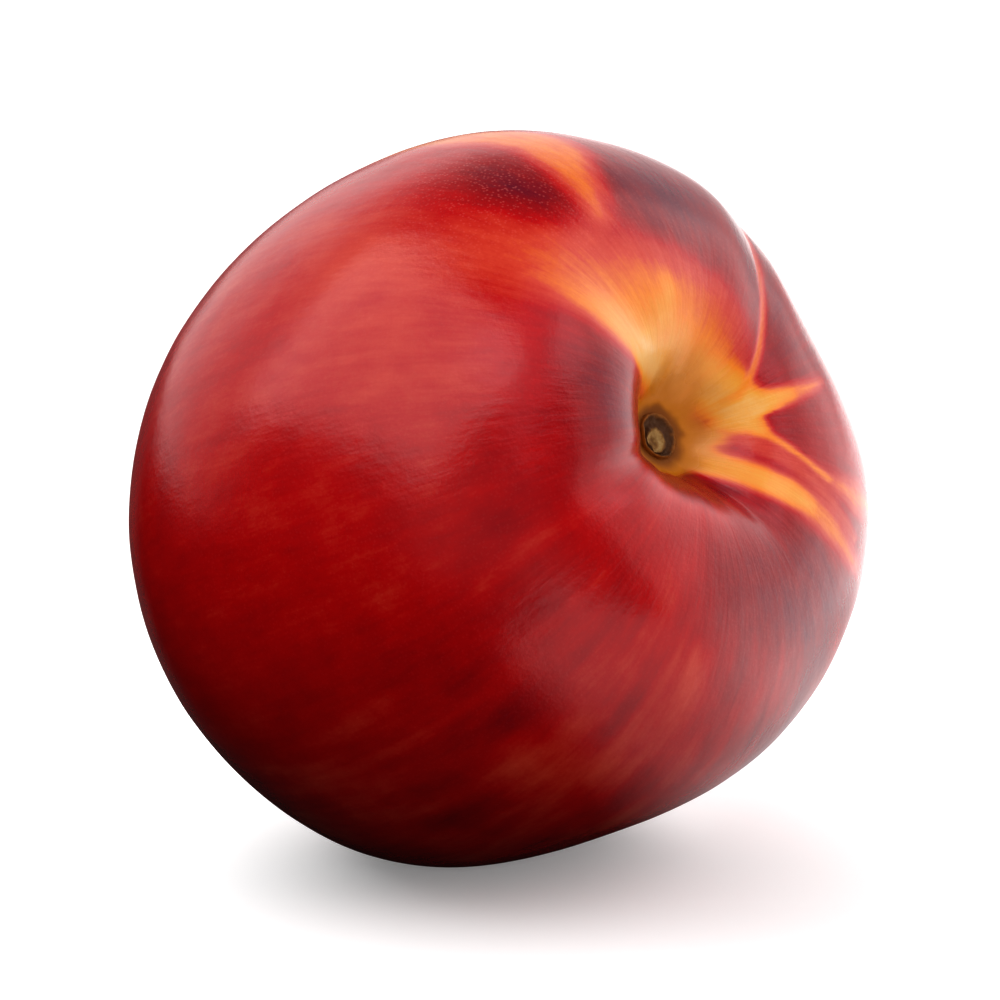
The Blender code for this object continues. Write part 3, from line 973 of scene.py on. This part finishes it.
def floor_material(settings):
    """Matt and pale, and white far off, with painted light and shadow round the fruit.
    It throws less light up near the fruit than it shows, as painted shade, and glows in reflections
    as a painted reflection.
    """
    bench = NodeBench("floor")
    place = bench.place()
    parts = bench.add("ShaderNodeSeparateXYZ", 1)
    bench.join(place, parts.inputs[0])
    right, back = parts.outputs["X"], parts.outputs["Y"]
    reach = bench.distance(place, (0.0, 0.0, 0.0))

    # Painted light and shadow round the fruit: the glow is lowered in front of it and raised behind
    # it.
    lift = bench.between(back, *FLOOR_SHADOW_PAINT)
    lift = bench.math("MULTIPLY", lift, bench.between(reach, *FLOOR_LIFT_STARTS))
    lift = bench.math("MULTIPLY", lift, bench.between(reach, *FLOOR_LIFT_STOPS))
    glow = bench.math("ADD", lift, bench.between(reach, *FLOOR_GLOW))
    bench.feed(
        bench.shader,
        Base_Color=(*settings.floor_tone, 1.0),
        Roughness=1.0,
        Specular_IOR_Level=0.0,
        Emission_Color=(1.0, 1.0, 1.0, 1.0),
        Emission_Strength=glow,
    )

    # Painted shade in what the floor throws back, near the fruit.
    aslant = bench.math("MULTIPLY_ADD", back, FLOOR_SLANT, right)
    from_shadow = bench.distance(place, FLOOR_SHADOW_MIDDLE)
    tone = bench.between(aslant, *FLOOR_DIMS_ASLANT)
    for value, row in (
        (right, FLOOR_DIMS_LEFT),
        (back, FLOOR_DIMS_FRONT),
        (reach, FLOOR_DIMS_UNDER),
        (from_shadow, FLOOR_DIMS_PATCH),
    ):
        tone = bench.math("MULTIPLY", tone, bench.between(value, *row))
    grey = bench.add("ShaderNodeCombineColor", 5)
    bench.feed(grey, Red=tone, Green=tone, Blue=tone)
    ray = bench.add("ShaderNodeLightPath", 3)
    matt = bench.add("ShaderNodeBsdfDiffuse", 6)
    bench.feed(matt, Color=grey.outputs[0])
    # Painted reflection: the floor glows in the wax, though it is no lamp.
    painted_reflection = bench.add("ShaderNodeEmission", 6)
    bench.feed(painted_reflection, Color=grey.outputs[0], Strength=ray.outputs["Is Glossy Ray"])
    thrown = bench.add("ShaderNodeAddShader", 7)
    bench.join(matt.outputs[0], thrown.inputs[0])
    bench.join(painted_reflection.outputs[0], thrown.inputs[1])
    choose = bench.add("ShaderNodeMixShader", 6)
    bench.join(ray.outputs["Is Camera Ray"], choose.inputs[0])
    bench.join(thrown.outputs[0], choose.inputs[1])
    bench.join(bench.shader.outputs[0], choose.inputs[2])
    bench.join(choose.outputs[0], bench.output.inputs["Surface"])
    return bench.material


def studio_world():
    """White all round to look at, and bright behind and dim in front as a source of light."""
    world = bpy.data.worlds.new("studio")
    world.use_nodes = True
    tree = world.node_tree
    new, join = tree.nodes.new, tree.links.new
    place = new("ShaderNodeTexCoord")
    parts = new("ShaderNodeSeparateXYZ")
    join(place.outputs["Generated"], parts.inputs[0])
    strength = new("ShaderNodeMath")
    strength.operation = "MULTIPLY"
    for target, axis, row in zip(strength.inputs, "YZ", (SURROUND_BY_DEPTH, SURROUND_BY_HEIGHT)):
        span = new("ShaderNodeMapRange")
        span.interpolation_type = "SMOOTHSTEP"
        for name, value in zip(("From Min", "From Max", "To Min", "To Max"), row):
            span.inputs[name].default_value = value
        join(parts.outputs[axis], span.inputs["Value"])
        join(span.outputs["Result"], target)
    light = tree.nodes["Background"]
    join(strength.outputs[0], light.inputs["Strength"])
    seen = new("ShaderNodeBackground")
    seen.inputs["Strength"].default_value = 1.0
    for shader in (light, seen):
        shader.inputs["Color"].default_value = (1.0, 1.0, 1.0, 1.0)
    ray = new("ShaderNodeLightPath")
    choose = new("ShaderNodeMixShader")
    join(ray.outputs["Is Camera Ray"], choose.inputs["Fac"])
    join(light.outputs[0], choose.inputs[1])
    join(seen.outputs[0], choose.inputs[2])
    join(choose.outputs[0], tree.nodes["World Output"].inputs["Surface"])
    return world


class NECTARINE_OT_stage(bpy.types.Operator):
    """Set the floor, the lamps and the camera"""

    bl_idname = "nectarine.stage"
    bl_label = "Stage"

    def execute(self, context):
        settings = context.scene.nectarine_stage
        scene = context.scene
        bpy.ops.object.select_all(action="DESELECT")
        bpy.ops.mesh.primitive_plane_add(size=settings.floor_size, location=(0, 0, 0))
        floor = context.active_object
        floor.name = "floor"
        floor.data.materials.append(floor_material(settings))

        aim = Vector(settings.aim)
        for name, azimuth, height, size, power in LAMPS:
            lamp = soft_box(name, azimuth, height, size, power, aim)
            lamp.visible_diffuse = name != SHEEN_LAMP
            lamp.visible_glossy = name != FILL_LAMP
            if name == SHEEN_LAMP:
                lamp.data.color = SHEEN_COLOUR
        scene.world = studio_world()

        up = settings.view_height
        back = Vector((0.0, -math.cos(up), math.sin(up)))
        camera = bpy.data.objects.new("camera", bpy.data.cameras.new("camera"))
        scene.collection.objects.link(camera)
        camera.location = aim + back * settings.view_distance
        camera.rotation_euler = back.to_track_quat("Z", "Y").to_euler()
        camera.data.sensor_width = SENSOR_WIDTH
        camera.data.lens = SENSOR_WIDTH * settings.view_distance / settings.view_width
        camera.data.clip_end = VIEW_END
        scene.camera = camera
        scene.view_settings.view_transform = "Standard"
        scene.view_settings.look = "High Contrast"
        return {"FINISHED"}


class NECTARINE_PT_panel(bpy.types.Panel):
    """Lists what makes the nectarine"""

    bl_idname = "NECTARINE_PT_panel"
    bl_label = "Nectarine"
    bl_space_type = "VIEW_3D"
    bl_region_type = "UI"
    bl_category = "Nectarine"

    def draw(self, context):
        for title, _ in GROUPS:
            group = getattr(context.scene, title)
            box = self.layout.box()
            for name in group.__annotations__:
                box.prop(group, name)
        for operator in OPERATORS:
            self.layout.operator(operator.bl_idname)


GROUPS = (
    ("nectarine_skin", NectarineSkinSettings),
    ("nectarine_scar", NectarineScarSettings),
    ("nectarine_stage", NectarineStageSettings),
)
OPERATORS = (NECTARINE_OT_skin, NECTARINE_OT_scar, NECTARINE_OT_stage)


def register():
    for name, group in GROUPS:
        bpy.utils.register_class(group)
        setattr(bpy.types.Scene, name, PointerProperty(type=group))
    for operator in OPERATORS:
        bpy.utils.register_class(operator)
    bpy.utils.register_class(NECTARINE_PT_panel)


def unregister():
    bpy.utils.unregister_class(NECTARINE_PT_panel)
    for operator in reversed(OPERATORS):
        bpy.utils.unregister_class(operator)
    for name, group in reversed(GROUPS):
        delattr(bpy.types.Scene, name)
        bpy.utils.unregister_class(group)


def main():
    register()
    bpy.ops.nectarine.skin()
    bpy.ops.nectarine.scar()
    bpy.ops.nectarine.stage()


if __name__ == "__main__":
    main()
